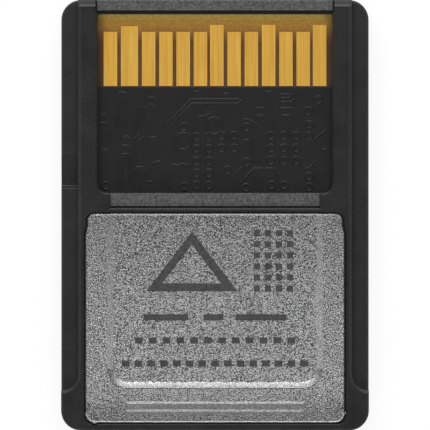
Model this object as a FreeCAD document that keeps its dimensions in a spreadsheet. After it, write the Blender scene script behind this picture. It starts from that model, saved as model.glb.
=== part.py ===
import FreeCAD, Part
import os
import Sketcher

# A removable memory card for cameras. It lies on its label side, with the contacts facing up.
# Millimetres. +X is to the right and +Y towards the contact end as seen from above, and +Z is up.
# The origin is at the centre of the underside.
#
# The card is two moulded halves that meet at the seam, with the circuit board clamped between
# them. The upper half has the contact window, the two guide rails and the seat of a stamped metal
# plate. The lower half carries the label's recess.

PARTS_FOLDER = "parts"

# Driving sizes in millimetres: name, value, and what it measures.
SIZES = (
    ("width", 20.0, "across the card"),
    ("length", 28.0, "from the contact end to the rear end"),
    ("thickness", 2.8, "over both faces"),
    ("corner_radius", 1.3, "of the four corners, seen from above"),
    ("edge_bevel", 0.12, "bevel of the outer edges of the contact side"),
    ("label_edge_round", 0.3, "rounding of the outer edges of the label side"),
    ("seam_height", 1.3, "from the underside to where the two halves meet"),
    ("seam_bevel", 0.05, "bevel of both halves along the seam"),
    ("rail_width", 1.1, "of each guide rail"),
    ("rail_step", 0.7, "from the contact face down to the rails"),
    ("rail_end_gap", 2.6, "from the rails' rear ends to the rear end"),
    ("rail_bevel", 0.2, "bevel along the rails' upper edges"),
    ("latch_rear", 1.95, "from the middle of the card to the latch notch's rear wall"),
    ("latch_length", 2.02, "of the latch notch"),
    ("latch_depth", 0.4, "of the latch notch below the rail, at its rear wall"),
    ("latch_floor", 0.3, "length of the notch's level floor, before which its ramp rises"),
    ("latch_ledge_length", 0.19, "of the small ledge behind the notch"),
    ("latch_ledge_depth", 0.16, "of that ledge below the rail"),
    ("latch_bevel", 0.07, "bevel of the notch's rear wall and of the ledge"),
    ("lead_in_length", 0.45, "of the lead-in across the contact end"),
    ("lead_in_slope_length", 0.32, "of the lead-in's shallow slope"),
    ("lead_in_depth", 0.14, "of the lead-in at the foot of its steep slope"),
    ("lead_in_fall", 0.09, "that the shallow slope falls towards the end"),
    ("window_side_gap", 2.35, "from the card's sides to the window"),
    ("window_front_gap", 0.94, "from the contact end to the window"),
    ("window_rear", 1.43, "from the middle of the card to the window's rear edge"),
    ("window_radius", 0.65, "of the window's rear corners"),
    ("window_front_radius", 0.12, "of the window's front corners"),
    ("window_bevel", 0.11, "bevel of the window's rim"),
    ("land_depth", 0.3, "of the sunk lands before and behind the window"),
    ("front_land_length", 0.7, "of the land at the contact end"),
    ("front_ledge_depth", 0.25, "of the ledge between the front land and the window"),
    ("rear_land_length", 0.85, "of the land behind the window"),
    ("rear_land_inset", 0.85, "from the window's sides to the ends of the land behind it"),
    ("parting_groove", 0.12, "width of the fine grooves beside and behind the lands"),
    ("parting_groove_depth", 0.15, "of those grooves below the lands"),
    ("cross_rib", 0.29, "width of the rib between the rear land's groove and the plate"),
    ("frame_side_wall", 1.25, "from the card's sides to the board's seat"),
    ("frame_front_wall", 0.6, "from the contact end to the board's seat"),
    ("frame_rear_wall", 1.1, "from the rear end to the board's seat"),
    ("board_thickness", 0.6, "of the circuit board"),
    ("board_clearance", 0.08, "round the circuit board in its seat"),
    ("board_corner_radius", 0.5, "of the circuit board"),
    ("mask_thickness", 0.03, "of the solder mask that the contact area lacks"),
    ("bare_length", 4.75, "of the bare contact area, from the window's front"),
    ("pad_length", 3.53, "of a short contact"),
    ("pad_row_gap", 0.4, "from the window's sides to the row of contacts"),
    ("wide_pad_share", 1.27, "width of the wide contact over that of the others"),
    ("pad_thickness", 0.04, "of the contacts"),
    ("pad_gap", 0.245, "between two contacts"),
    ("pad_narrow_gap", 0.185, "before two of the long contacts"),
    ("pad_margin", 0.09, "from the solder mask to the contacts"),
    ("long_pad_extra", 0.45, "that the long contacts reach further forward"),
    ("wide_pad_extra", 0.37, "that the wide contact reaches further forward"),
    ("plate_side_gap", 1.555, "from the card's sides to the metal plate"),
    ("plate_rear_gap", 0.5, "from the rear end to the metal plate"),
    ("plate_thickness", 0.2, "of the sheet that the plate is stamped from"),
    ("plate_neck_step", 0.12, "that each side of the plate's front part stands back"),
    ("plate_neck_length", 0.85, "of the plate's front part"),
    ("plate_neck_run", 0.4, "length of the slant from the neck to the full width"),
    ("plate_front_radius", 0.53, "of the plate's front corners"),
    ("plate_rear_radius", 0.66, "of the plate's rear corners"),
    ("plate_edge_bevel", 0.09, "bevel of the plate's upper edge, pressed in the stamping"),
    ("plate_gap", 0.08, "between the plate and its seat"),
    ("plate_drop", 0.05, "of the plate's face below the contact face"),
    ("seat_rear_radius", 0.42, "of the seat's rear corners, without the gap"),
    ("seat_bevel", 0.04, "bevel of the plate seat's rim"),
    ("nib_width", 0.2, "of the stubs left where the plate was cut from its strip"),
    ("nib_reach", 0.06, "of those stubs beyond the plate's edge"),
    ("side_nib_setback", 0.67, "of the side stub from the plate's rear edge"),
    ("rear_nib_inset", 0.62, "of the rear stub from the plate's left side"),
    ("field_side_margin", 1.445, "from the plate's sides to its sunk field"),
    ("field_depth", 0.14, "of the sunk field"),
    ("field_slope", 0.4, "width of the slope round the field, seen from above"),
    ("field_rear_margin", 2.26, "from the plate's rear edge to the field"),
    ("field_rear_radius", 1.3, "of the field's rear corners"),
    ("rib_side_margin", 2.6, "from the plate's sides to the two nail ribs"),
    ("rib_height", 0.035, "of the nail ribs"),
    ("rib_slope", 0.15, "width of a nail rib's slopes, seen from above"),
    ("front_rib_width", 0.5, "of the front nail rib"),
    ("front_rib_setback", 1.14, "of its middle from the plate's rear edge"),
    ("rear_rib_width", 0.36, "of the rear nail rib"),
    ("rear_rib_setback", 0.69, "of its middle from the plate's rear edge"),
    ("film_thickness", 0.05, "of the adhesive film under the plate"),
    ("film_inset", 0.2, "of the film from the plate's edge"),
    ("cavity_margin", 0.15, "from the sunk field to the opening under the plate"),
    ("label_wall", 0.45, "thickness of the lower half's floor"),
    ("shell_side_wall", 2.2, "of the lower half"),
    ("shell_front_wall", 1.6, "of the lower half"),
    ("shell_rear_wall", 1.8, "of the lower half"),
    ("shell_corner_radius", 0.6, "of the lower half's hollow"),
    ("label_side_margin", 2.1, "from the card's sides to the label's recess"),
    ("label_end_margin", 3.5, "from the card's ends to the label's recess"),
    ("label_depth", 0.12, "of the label's recess"),
    ("label_radius", 1.0, "of the label recess's corners"),
    ("tongue_inset", 0.45, "from the outside of the card to the weld tongue"),
    ("tongue_width", 0.3, "of the weld tongue"),
    ("tongue_height", 0.25, "of the weld tongue above the seam"),
    ("tongue_front_gap", 2.2, "from the contact end to the tongue's ends"),
    ("weld_clearance", 0.04, "round the tongue in its groove"),
    ("post_radius", 0.4, "of the two locating posts"),
    ("post_clearance", 0.06, "round a post in the board's notch"),
    ("post_inset", 0.42, "of a post's axis from the board's edge"),
    ("post_place", -0.5, "of the posts' axes from the middle of the card, towards the contacts"),
    ("post_height", 0.5, "of a post above the seam"),
    ("flash_side_margin", 0.9, "from the hollow's sides to the flash memory package"),
    ("flash_height", 0.8, "of the flash memory package"),
    ("controller_share", 0.54, "of the width between the part margins, for the controller"),
    ("controller_height", 0.75, "of the controller package"),
    ("substrate_thickness", 0.2, "of the packages' carrier boards"),
    ("mould_inset", 0.1, "of the packages' mould from the carrier's edge"),
    ("mould_radius", 0.2, "of the corners of the packages' mould"),
    ("power_chip_share", 0.5, "of the width beside the controller, for the power chip"),
    ("power_chip_height", 0.6, "of the power chip"),
    ("inductor_height", 0.8, "of the power inductor"),
    ("crystal_width", 1.6, "of the clock crystal"),
    ("crystal_height", 0.45, "of the clock crystal"),
    ("lid_inset", 0.12, "of the crystal's lid from its base"),
    ("lid_height", 0.15, "of the crystal's lid"),
    ("part_margin", 0.4, "from the hollow's walls to the nearest package"),
    ("part_gap", 0.8, "between neighbouring packages"),
    ("capacitor_length", 1.0, "of a chip capacitor"),
    ("capacitor_width", 0.5, "of a chip capacitor"),
    ("capacitor_height", 0.4, "of a chip capacitor"),
    ("capacitor_pitch", 1.3, "from one chip capacitor to the next"),
    ("resistor_length", 0.6, "of a chip resistor"),
    ("resistor_width", 0.3, "of a chip resistor"),
    ("resistor_height", 0.23, "of a chip resistor"),
    ("resistor_pitch", 0.75, "from one chip resistor to the next"),
    ("terminal_length", 0.2, "of the metal ends of the chip parts"),
    ("terminal_rise", 0.02, "of the metal ends over the chip parts' bodies"),
    ("heat_pad_margin", 1.5, "from the sunk field's edges to the heat-conducting pad"),
    ("heat_pad_radius", 0.4, "of its corners"),
)

CONTACTS = 13
WIDE_CONTACT = 2
LONG_CONTACTS = (7, 10, 13)
NARROW_GAP_BEFORE = (7, 13)

# How far a cut reaches past the face that it opens.
OVERCUT = "0.5"

# Places along X and Y, worked out from the driving sizes.
SIDE = "(card.width / 2)"
FRONT = "(card.length / 2)"
REAR = "(-card.length / 2)"
RAIL_EDGE = f"({SIDE} - card.rail_width)"
RAIL_END = f"({REAR} + card.rail_end_gap)"
WINDOW_SIDE = f"({SIDE} - card.window_side_gap)"
WINDOW_FRONT = f"({FRONT} - card.window_front_gap)"
WINDOW_REAR = "card.window_rear"
FRONT_LAND_REAR = f"({FRONT} - card.front_land_length)"
REAR_LAND_SIDE = f"({WINDOW_SIDE} - card.rear_land_inset)"
REAR_LAND_REAR = f"({WINDOW_REAR} - card.rear_land_length)"
GROOVE_REAR = f"({REAR_LAND_REAR} - card.parting_groove)"
SEAT_FRONT = f"({GROOVE_REAR} - card.cross_rib)"
PLATE_FRONT = f"({SEAT_FRONT} - card.plate_gap)"
PLATE_REAR = f"({REAR} + card.plate_rear_gap)"
PLATE_SIDE = f"({SIDE} - card.plate_side_gap)"
FIELD_SIDE = f"({PLATE_SIDE} - card.field_side_margin)"
FIELD_REAR = f"({PLATE_REAR} + card.field_rear_margin)"
OPENING_SIDE = f"({FIELD_SIDE} + card.cavity_margin)"
OPENING_REAR = f"({FIELD_REAR} - card.cavity_margin)"
BOARD_SIDE = f"({SIDE} - card.frame_side_wall - card.board_clearance)"
BOARD_FRONT = f"({FRONT} - card.frame_front_wall - card.board_clearance)"
BOARD_REAR = f"({REAR} + card.frame_rear_wall + card.board_clearance)"
MASK_EDGE = f"({WINDOW_FRONT} - card.bare_length)"
HOLLOW_SIDE = f"({SIDE} - card.shell_side_wall)"
HOLLOW_FRONT = f"({FRONT} - card.shell_front_wall)"
HOLLOW_REAR = f"({REAR} + card.shell_rear_wall)"
POST_SIDE = f"({BOARD_SIDE} - card.post_inset)"
PARTS_SIDE = f"({HOLLOW_SIDE} - card.part_margin)"
CONTROLLER_SIZE = f"(2 * {PARTS_SIDE} * card.controller_share)"
CHIPS_FRONT = f"({MASK_EDGE} + card.pad_margin)"
CHIPS_REAR = f"({CHIPS_FRONT} - {CONTROLLER_SIZE})"
COLUMN_LEFT = f"({CONTROLLER_SIZE} + card.part_gap - {PARTS_SIDE})"
POWER_CHIP_SIZE = f"(({PARTS_SIDE} - {COLUMN_LEFT}) * card.power_chip_share)"
CRYSTAL_REAR = f"({CHIPS_REAR} + {POWER_CHIP_SIZE} + card.part_gap)"
BYPASS_ROW = f"({FIELD_REAR} + card.field_slope)"

# Levels along Z.
BOARD_TOP = "(card.seam_height + card.board_thickness)"
RAIL_LEVEL = "(card.thickness - card.rail_step)"
LAND_LEVEL = "(card.thickness - card.land_depth)"
NOSE_LEVEL = "(card.thickness - card.lead_in_depth - card.lead_in_fall)"
PLATE_TOP = "(card.thickness - card.plate_drop)"
PLATE_UNDERSIDE = f"({PLATE_TOP} - card.plate_thickness)"
SEAT_DEPTH = "(card.plate_drop + card.plate_thickness + card.film_thickness)"
GROOVE_DEPTH = "(card.land_depth + card.parting_groove_depth)"
FIELD_UNDERSIDE = f"({PLATE_UNDERSIDE} - card.field_depth)"

# The rows of chip parts: how many, and where the first one's left side is.
CHIP_COUNTS = {"signal_capacitors": 6, "bypass_capacitors": 7, "pull_resistors": 4}
CHIP_ROW_STARTS = {
    "signal_capacitors": "(-3 * card.capacitor_pitch)",
    "bypass_capacitors": "(-3 * card.capacitor_pitch - card.capacitor_width / 2)",
    "pull_resistors": COLUMN_LEFT,
}

doc = FreeCAD.newDocument("memory_card")


def fill_sheet():
    """Writes the driving sizes to the document's sheet, one per row."""
    sheet = doc.addObject("Spreadsheet::Sheet", "card")
    for row, (name, value, note) in enumerate(SIZES, start=1):
        sheet.set(f"A{row}", name)
        sheet.set(f"B{row}", str(value))
        sheet.setAlias(f"B{row}", name)
        sheet.set(f"C{row}", note)
    doc.recompute()
    return sheet


sheet = fill_sheet()


def number(expression):
    """The value of an expression on the sheet's sizes."""
    return float(sheet.evalExpression(str(expression)))


def new_body(label):
    """An empty body that may hold several separate solids."""
    body = doc.addObject("PartDesign::Body", label)
    body.Label = label
    body.AllowCompound = True
    return body


def origin_feature(body, role):
    """One of the body's own origin planes or axes."""
    return next(item for item in body.Origin.OriginFeatures if item.Role == role)


def new_sketch(body, name, level="0", plane="XY_Plane"):
    """A sketch parallel to one of the body's origin planes, at a level above it."""
    sketch = body.newObject("Sketcher::SketchObject", f"{body.Label}_{name}")
    sketch.AttachmentSupport = (origin_feature(body, plane), "")
    sketch.MapMode = "FlatFace"
    sketch.setExpression("AttachmentOffset.Base.z", level)
    return sketch


def bind(sketch, name, constraint, expression):
    """Adds a constraint and ties it to an expression."""
    index = sketch.addConstraint(constraint)
    sketch.renameConstraint(index, name)
    sketch.setExpression(f"Constraints.{name}", expression)


def bind_place(sketch, name, kind, geometry, position, expression):
    """Ties a point's distance from the origin along one axis to an expression of either sign."""
    value = number(expression)
    if value < 0:
        constraint = Sketcher.Constraint(kind, geometry, position, -1, 1, -value)
        bind(sketch, name, constraint, f"-({expression})")
    else:
        constraint = Sketcher.Constraint(kind, -1, 1, geometry, position, value)
        bind(sketch, name, constraint, expression)


def corner_arc(corner, before, after, radius):
    """Where a corner's rounding starts and ends, its centre, and whether it turns left."""
    inward = (corner - before).normalize()
    outward = (after - corner).normalize()
    turns_left = inward.cross(outward).z > 0
    reach = radius * (1 - inward.dot(outward)) / abs(inward.cross(outward).z)
    start = corner - inward * reach
    end = corner + outward * reach
    side = FreeCAD.Vector(-inward.y, inward.x, 0)
    centre = start + side * (radius if turns_left else -radius)
    return start, end, centre, turns_left


def add_outline(sketch, corners):
    """Adds a closed outline. Each corner is (x, y) or (x, y, radius), in anticlockwise order."""
    tag = f"outline{sketch.GeometryCount}"
    points = [FreeCAD.Vector(number(corner[0]), number(corner[1]), 0) for corner in corners]
    count = len(points)
    arcs = {}
    for place, corner in enumerate(corners):
        if len(corner) > 2:
            before = points[place - 1]
            after = points[(place + 1) % count]
            arcs[place] = corner_arc(points[place], before, after, number(corner[2]))

    marks = []
    for place, corner in enumerate(corners):
        mark = sketch.addGeometry(Part.Point(points[place]), True)
        bind_place(sketch, f"{tag}_x{place}", "DistanceX", mark, 1, corner[0])
        bind_place(sketch, f"{tag}_y{place}", "DistanceY", mark, 1, corner[1])
        marks.append(mark)

    lines = []
    for place in range(count):
        following = (place + 1) % count
        start = arcs[place][1] if place in arcs else points[place]
        end = arcs[following][0] if following in arcs else points[following]
        lines.append(sketch.addGeometry(Part.LineSegment(start, end), False))

    for place in range(count):
        arriving = lines[place - 1]
        leaving = lines[place]
        if place not in arcs:
            sketch.addConstraint(Sketcher.Constraint("Coincident", arriving, 2, marks[place], 1))
            sketch.addConstraint(Sketcher.Constraint("Coincident", leaving, 1, marks[place], 1))
            continue
        start, end, centre, turns_left = arcs[place]
        circle = Part.Circle(centre, FreeCAD.Vector(0, 0, 1), number(corners[place][2]))
        first, last = (start, end) if turns_left else (end, start)
        arc = Part.ArcOfCircle(circle, circle.parameter(first), circle.parameter(last))
        rounding = sketch.addGeometry(arc, False)
        joins = (1, 2) if turns_left else (2, 1)
        sketch.addConstraint(Sketcher.Constraint("Tangent", arriving, 2, rounding, joins[0]))
        sketch.addConstraint(Sketcher.Constraint("Tangent", leaving, 1, rounding, joins[1]))
        sketch.addConstraint(Sketcher.Constraint("PointOnObject", marks[place], 1, arriving))
        sketch.addConstraint(Sketcher.Constraint("PointOnObject", marks[place], 1, leaving))
        radius = Sketcher.Constraint("Radius", rounding, number(corners[place][2]))
        bind(sketch, f"{tag}_r{place}", radius, corners[place][2])
    return sketch


def box_corners(left, right, rear, front, rear_radius=None, front_radius=None):
    """The corners of a rectangle, with its rear and its front pair rounded alike."""
    behind = (rear_radius,) if rear_radius else ()
    ahead = (front_radius,) if front_radius else ()
    return [
        (left, rear, *behind),
        (right, rear, *behind),
        (right, front, *ahead),
        (left, front, *ahead),
    ]


def centred_box(half_width, rear, front, rear_radius=None, front_radius=None):
    """The corners of a rectangle that is centred across the card."""
    return box_corners(f"-{half_width}", half_width, rear, front, rear_radius, front_radius)


def add_circle(sketch, across, along, radius):
    """Adds a circle whose centre and radius are tied to expressions."""
    tag = f"circle{sketch.GeometryCount}"
    centre = FreeCAD.Vector(number(across), number(along), 0)
    circle = sketch.addGeometry(
        Part.Circle(centre, FreeCAD.Vector(0, 0, 1), number(radius)), False
    )
    bind_place(sketch, f"{tag}_x", "DistanceX", circle, 3, across)
    bind_place(sketch, f"{tag}_y", "DistanceY", circle, 3, along)
    bind(sketch, f"{tag}_r", Sketcher.Constraint("Radius", circle, number(radius)), radius)
    return sketch


def finish_feature(body, feature, before, grows):
    """Recomputes a new feature and makes sure that it added or removed material."""
    body.Tip = feature
    doc.recompute()
    change = feature.Shape.Volume - before
    if (change > 0) != grows or abs(change) < 1e-6:
        raise RuntimeError(f"{feature.Name} changed the volume by {change:.6f}")
    return feature


def volume_of(body):
    """The body's volume so far."""
    return body.Shape.Volume if body.Tip and not body.Shape.isNull() else 0.0


def extrude(body, kind, sketch, length, reverse=False, symmetric=False):
    """A pad or a pocket of a sketch. A pad rises and a pocket sinks, unless it is reversed."""
    before = volume_of(body)
    feature = body.newObject(f"PartDesign::{kind}", f"{sketch.Name}_{kind.lower()}")
    feature.Profile = sketch
    feature.Reversed = reverse
    feature.SideType = "Symmetric" if symmetric else "One side"
    feature.setExpression("Length", length)
    sketch.Visibility = False
    return finish_feature(body, feature, before, kind == "Pad")


def pad(body, sketch, length, reverse=False):
    """Adds material over a sketch."""
    return extrude(body, "Pad", sketch, length, reverse)


def pocket(body, sketch, depth, reverse=False, symmetric=False):
    """Cuts a sketch into the body."""
    return extrude(body, "Pocket", sketch, depth, reverse, symmetric)


def loft(body, kind, sections):
    """Blends straight from one sketch to the next, adding or removing material."""
    before = volume_of(body)
    feature = body.newObject(f"PartDesign::{kind}", f"{sections[0].Name}_loft")
    feature.Profile = sections[0]
    feature.Sections = list(sections[1:])
    feature.Ruled = True
    return finish_feature(body, feature, before, kind == "AdditiveLoft")


def edges_where(shape, wanted):
    """The names of the edges that a test picks by their box."""
    return [
        f"Edge{place}"
        for place, edge in enumerate(shape.Edges, start=1)
        if wanted(edge.BoundBox)
    ]


def at_level(box, level):
    """Whether an edge lies in the horizontal plane at a level."""
    height = number(level)
    return abs(box.ZMin - height) < 1e-4 and abs(box.ZMax - height) < 1e-4


def within(box, left, right, rear, front, slack=1e-3):
    """Whether an edge lies inside a rectangle, seen from above."""
    return (
        box.XMin > number(left) - slack
        and box.XMax < number(right) + slack
        and box.YMin > number(rear) - slack
        and box.YMax < number(front) + slack
    )


def outermost(box):
    """Whether an edge belongs to the card's own outline."""
    side = number(SIDE)
    front = number(FRONT)
    radius = number("card.corner_radius")
    on_side = abs(box.XMin) > side - 1e-3 and abs(box.XMax) > side - 1e-3
    on_end = abs(box.YMin) > front - 1e-3 and abs(box.YMax) > front - 1e-3
    beyond = side - radius - 1e-3
    behind = front - radius - 1e-3
    in_corner = (
        min(abs(box.XMin), abs(box.XMax)) > beyond
        and min(abs(box.YMin), abs(box.YMax)) > behind
        and box.XLength > 1e-3
        and box.YLength > 1e-3
    )
    return on_side or on_end or in_corner


def soften(body, kind, size, wanted):
    """Rounds or bevels the edges that a test picks."""
    before = volume_of(body)
    names = edges_where(body.Shape, wanted)
    if not names:
        raise RuntimeError(f"{body.Label} has no edge to soften by {size}")
    feature = body.newObject(f"PartDesign::{kind}", f"{body.Label}_{kind.lower()}")
    feature.Base = (feature.BaseFeature, names)
    feature.setExpression("Radius" if kind == "Fillet" else "Size", size)
    return finish_feature(body, feature, before, False)


def repeat(body, features, axis, pitch, count):
    """Repeats features along an axis of the body, a pitch apart."""
    before = volume_of(body)
    pattern = body.newObject("PartDesign::LinearPattern", f"{body.Label}_row")
    pattern.Originals = features
    pattern.Direction = (origin_feature(body, axis), [""])
    pattern.Mode = "Spacing"
    pattern.setExpression("Offset", pitch)
    pattern.Occurrences = count
    return finish_feature(body, pattern, before, True)


def plate_outline(gap, rear_radius="card.plate_rear_radius"):
    """The plate's outline, grown by a gap: a rounded rectangle whose front part is narrower."""
    side = f"({PLATE_SIDE} + {gap})"
    neck = f"({side} - card.plate_neck_step)"
    neck_rear = f"({PLATE_FRONT} - card.plate_neck_length)"
    shoulder = f"({neck_rear} - card.plate_neck_run)"
    rear = f"({PLATE_REAR} - {gap})"
    front = f"({PLATE_FRONT} + {gap})"
    rear_radius = f"({rear_radius} + {gap})"
    front_radius = f"(card.plate_front_radius + {gap})"
    return [
        (f"-{side}", rear, rear_radius),
        (side, rear, rear_radius),
        (side, shoulder),
        (neck, neck_rear),
        (neck, front, front_radius),
        (f"-{neck}", front, front_radius),
        (f"-{neck}", neck_rear),
        (f"-{side}", shoulder),
    ]


def tongue_outline(gap):
    """The weld tongue's outline, grown by a gap: a U along both sides and the rear end."""
    outer = f"({SIDE} - card.tongue_inset + {gap})"
    inner = f"({SIDE} - card.tongue_inset - card.tongue_width - {gap})"
    outer_rear = f"({REAR} + card.tongue_inset - {gap})"
    inner_rear = f"({REAR} + card.tongue_inset + card.tongue_width + {gap})"
    ends = f"({FRONT} - card.tongue_front_gap + {gap})"
    outer_radius = f"(card.corner_radius - card.tongue_inset + {gap})"
    inner_radius = f"(card.corner_radius - card.tongue_inset - card.tongue_width - {gap})"
    return [
        (f"-{outer}", ends),
        (f"-{outer}", outer_rear, outer_radius),
        (outer, outer_rear, outer_radius),
        (outer, ends),
        (inner, ends),
        (inner, inner_rear, inner_radius),
        (f"-{inner}", inner_rear, inner_radius),
        (f"-{inner}", ends),
    ]


def make_contact_frame():
    """The upper moulded half: window, rails, latch notch and the seat of the metal plate."""
    body = new_body("contact_frame")
    block = new_sketch(body, "block", "card.seam_height")
    add_outline(block, centred_box(SIDE, REAR, FRONT, "card.corner_radius", "card.corner_radius"))
    pad(body, block, "card.thickness - card.seam_height")
    soften(body, "Chamfer", "card.seam_bevel", lambda box: at_level(box, "card.seam_height"))
    soften(body, "Chamfer", "card.edge_bevel", lambda box: at_level(box, "card.thickness"))

    cut_rails(body)
    cut_window(body)
    cut_plate_seat(body)
    cut_latch(body)
    cut_board_seat(body)
    cut_lead_in(body)
    return body


def cut_rails(body):
    """Steps both long edges down to guide rails that end in a rounded inner corner."""
    rails = new_sketch(body, "rails", "card.thickness")
    beyond = f"({SIDE} + {OVERCUT})"
    ahead = f"({FRONT} + {OVERCUT})"
    add_outline(
        rails,
        [
            (RAIL_EDGE, RAIL_END, "card.rail_width"),
            (beyond, RAIL_END),
            (beyond, ahead),
            (RAIL_EDGE, ahead),
        ],
    )
    add_outline(
        rails,
        [
            (f"-{beyond}", RAIL_END),
            (f"-{RAIL_EDGE}", RAIL_END, "card.rail_width"),
            (f"-{RAIL_EDGE}", ahead),
            (f"-{beyond}", ahead),
        ],
    )
    pocket(body, rails, "card.rail_step")

    side = number(SIDE)
    rail_edge = number(RAIL_EDGE)
    rail_end = number(RAIL_END)

    def upper_edge(box):
        beside_rail = min(abs(box.XMin), abs(box.XMax)) > rail_edge - 1e-3
        inside = max(abs(box.XMin), abs(box.XMax)) < side - number("card.edge_bevel") + 1e-2
        along_rail = beside_rail and inside and box.YMin > rail_end - 1e-2
        return at_level(box, "card.thickness") and along_rail and box.YLength > 1e-3

    soften(body, "Chamfer", "card.rail_bevel", upper_edge)
    soften(
        body,
        "Chamfer",
        "card.edge_bevel",
        lambda box: at_level(box, RAIL_LEVEL) and outermost(box),
    )


def cut_window(body):
    """Cuts the contact window, the sunk lands before and behind it, and the front ledge."""
    lands = new_sketch(body, "lands", "card.thickness")
    ahead = f"({FRONT} + {OVERCUT})"
    over_window = f"({WINDOW_REAR} + {OVERCUT})"
    window_corner = f"({WINDOW_FRONT} - card.window_front_radius)"
    add_outline(lands, centred_box(WINDOW_SIDE, window_corner, ahead))
    add_outline(lands, centred_box(REAR_LAND_SIDE, REAR_LAND_REAR, over_window))
    pocket(body, lands, "card.land_depth")

    ledge = new_sketch(body, "ledge", LAND_LEVEL)
    add_outline(ledge, centred_box(WINDOW_SIDE, window_corner, FRONT_LAND_REAR))
    pocket(body, ledge, "card.front_ledge_depth")

    groove = new_sketch(body, "rear_groove", "card.thickness")
    add_outline(groove, centred_box(REAR_LAND_SIDE, GROOVE_REAR, REAR_LAND_REAR))
    pocket(body, groove, GROOVE_DEPTH)

    window = new_sketch(body, "window", "card.thickness")
    add_outline(
        window,
        centred_box(
            WINDOW_SIDE, WINDOW_REAR, WINDOW_FRONT, "card.window_radius", "card.window_front_radius"
        ),
    )
    pocket(body, window, "card.thickness - card.seam_height")
    soften(
        body,
        "Chamfer",
        "card.window_bevel",
        lambda box: at_level(box, "card.thickness")
        and within(box, f"-{WINDOW_SIDE}", WINDOW_SIDE, GROOVE_REAR, FRONT)
        and box.YMin < number(FRONT) - 1e-3,
    )


def cut_plate_seat(body):
    """Cuts the plate's seat, and the opening under it for what stands on the board."""
    gap = "card.plate_gap"
    seat = new_sketch(body, "seat", "card.thickness")
    add_outline(seat, plate_outline(gap, "card.seat_rear_radius"))
    pocket(body, seat, SEAT_DEPTH)

    opening = new_sketch(body, "opening", "card.thickness")
    add_outline(
        opening,
        centred_box(OPENING_SIDE, OPENING_REAR, SEAT_FRONT, "card.field_rear_radius"),
    )
    pocket(body, opening, "card.thickness - card.seam_height")

    side = f"({PLATE_SIDE} + {gap})"
    soften(
        body,
        "Chamfer",
        "card.seat_bevel",
        lambda box: at_level(box, "card.thickness")
        and within(box, f"-{side}", side, f"({PLATE_REAR} - {gap})", SEAT_FRONT),
    )

    for corners in nib_outlines(gap):
        relief = new_sketch(body, f"relief{len(body.Group)}", "card.thickness")
        add_outline(relief, corners)
        pocket(body, relief, SEAT_DEPTH)


def cut_latch(body):
    """Cuts the latch notch into the left rail, ramped at its front, with a ledge at its rear."""
    beyond = f"(-{SIDE} - {OVERCUT})"
    ends = {
        RAIL_LEVEL: "(card.latch_rear + card.latch_length)",
        f"({RAIL_LEVEL} - card.latch_depth)": "(card.latch_rear + card.latch_floor)",
    }
    outlines = [
        box_corners(beyond, f"-{RAIL_EDGE}", "card.latch_rear", front) for front in ends.values()
    ]
    stamp(body, "SubtractiveLoft", "latch_notch", ends.keys(), outlines)

    ledge = new_sketch(body, "latch_ledge", RAIL_LEVEL)
    ledge_rear = "(card.latch_rear - card.latch_ledge_length)"
    add_outline(ledge, box_corners(beyond, f"-{RAIL_EDGE}", ledge_rear, "card.latch_rear"))
    pocket(body, ledge, "card.latch_ledge_depth")

    levels = {
        ledge_rear: RAIL_LEVEL,
        "card.latch_rear": f"({RAIL_LEVEL} - card.latch_ledge_depth)",
    }

    def facing_edge(box):
        across_rail = box.XMax < number(f"-{RAIL_EDGE}") + 1e-3 and box.XLength > 0.5
        return across_rail and any(
            at_level(box, level) and abs(box.YMin - number(place)) < 1e-3 and box.YLength < 1e-3
            for place, level in levels.items()
        )

    soften(body, "Chamfer", "card.latch_bevel", facing_edge)


def cut_board_seat(body):
    """Cuts the board's seat and the weld groove, both open towards the seam."""
    seat = new_sketch(body, "board_seat", "card.seam_height")
    gap = "card.board_clearance"
    add_outline(
        seat,
        centred_box(
            f"({BOARD_SIDE} + {gap})",
            f"({BOARD_REAR} - {gap})",
            f"({BOARD_FRONT} + {gap})",
            "card.board_corner_radius",
            "card.board_corner_radius",
        ),
    )
    pocket(body, seat, "card.board_thickness", reverse=True)

    groove = new_sketch(body, "weld_groove", "card.seam_height")
    add_outline(groove, tongue_outline("card.weld_clearance"))
    pocket(body, groove, "card.tongue_height + card.weld_clearance", reverse=True)


def cut_lead_in(body):
    """Cuts the lead-in across the contact end, and the fine grooves beside the front land."""
    profile = new_sketch(body, "lead_in", plane="YZ_Plane")
    top = "card.thickness"
    foot_level = f"({top} - card.lead_in_depth)"
    add_outline(
        profile,
        [
            (f"({FRONT} - card.lead_in_length)", top),
            (f"({FRONT} - card.lead_in_slope_length)", foot_level),
            (FRONT, NOSE_LEVEL),
            (f"({FRONT} + {OVERCUT})", NOSE_LEVEL),
            (f"({FRONT} + {OVERCUT})", f"({top} + {OVERCUT})"),
            (f"({FRONT} - card.lead_in_length)", f"({top} + {OVERCUT})"),
        ],
    )
    pocket(body, profile, f"2 * {RAIL_EDGE}", symmetric=True)

    grooves = new_sketch(body, "grooves", "card.thickness")
    ahead = f"({FRONT} + {OVERCUT})"
    groove_side = f"({WINDOW_SIDE} + card.parting_groove)"
    groove_rear = f"({FRONT_LAND_REAR} - card.parting_groove)"
    add_outline(grooves, box_corners(WINDOW_SIDE, groove_side, groove_rear, ahead))
    add_outline(grooves, box_corners(f"-{groove_side}", f"-{WINDOW_SIDE}", groove_rear, ahead))
    pocket(body, grooves, GROOVE_DEPTH)

    soften(
        body,
        "Chamfer",
        "card.seam_bevel",
        lambda box: box.YMin > number(FRONT) - 1e-3
        and any(at_level(box, level) for level in (LAND_LEVEL, NOSE_LEVEL)),
    )


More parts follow.
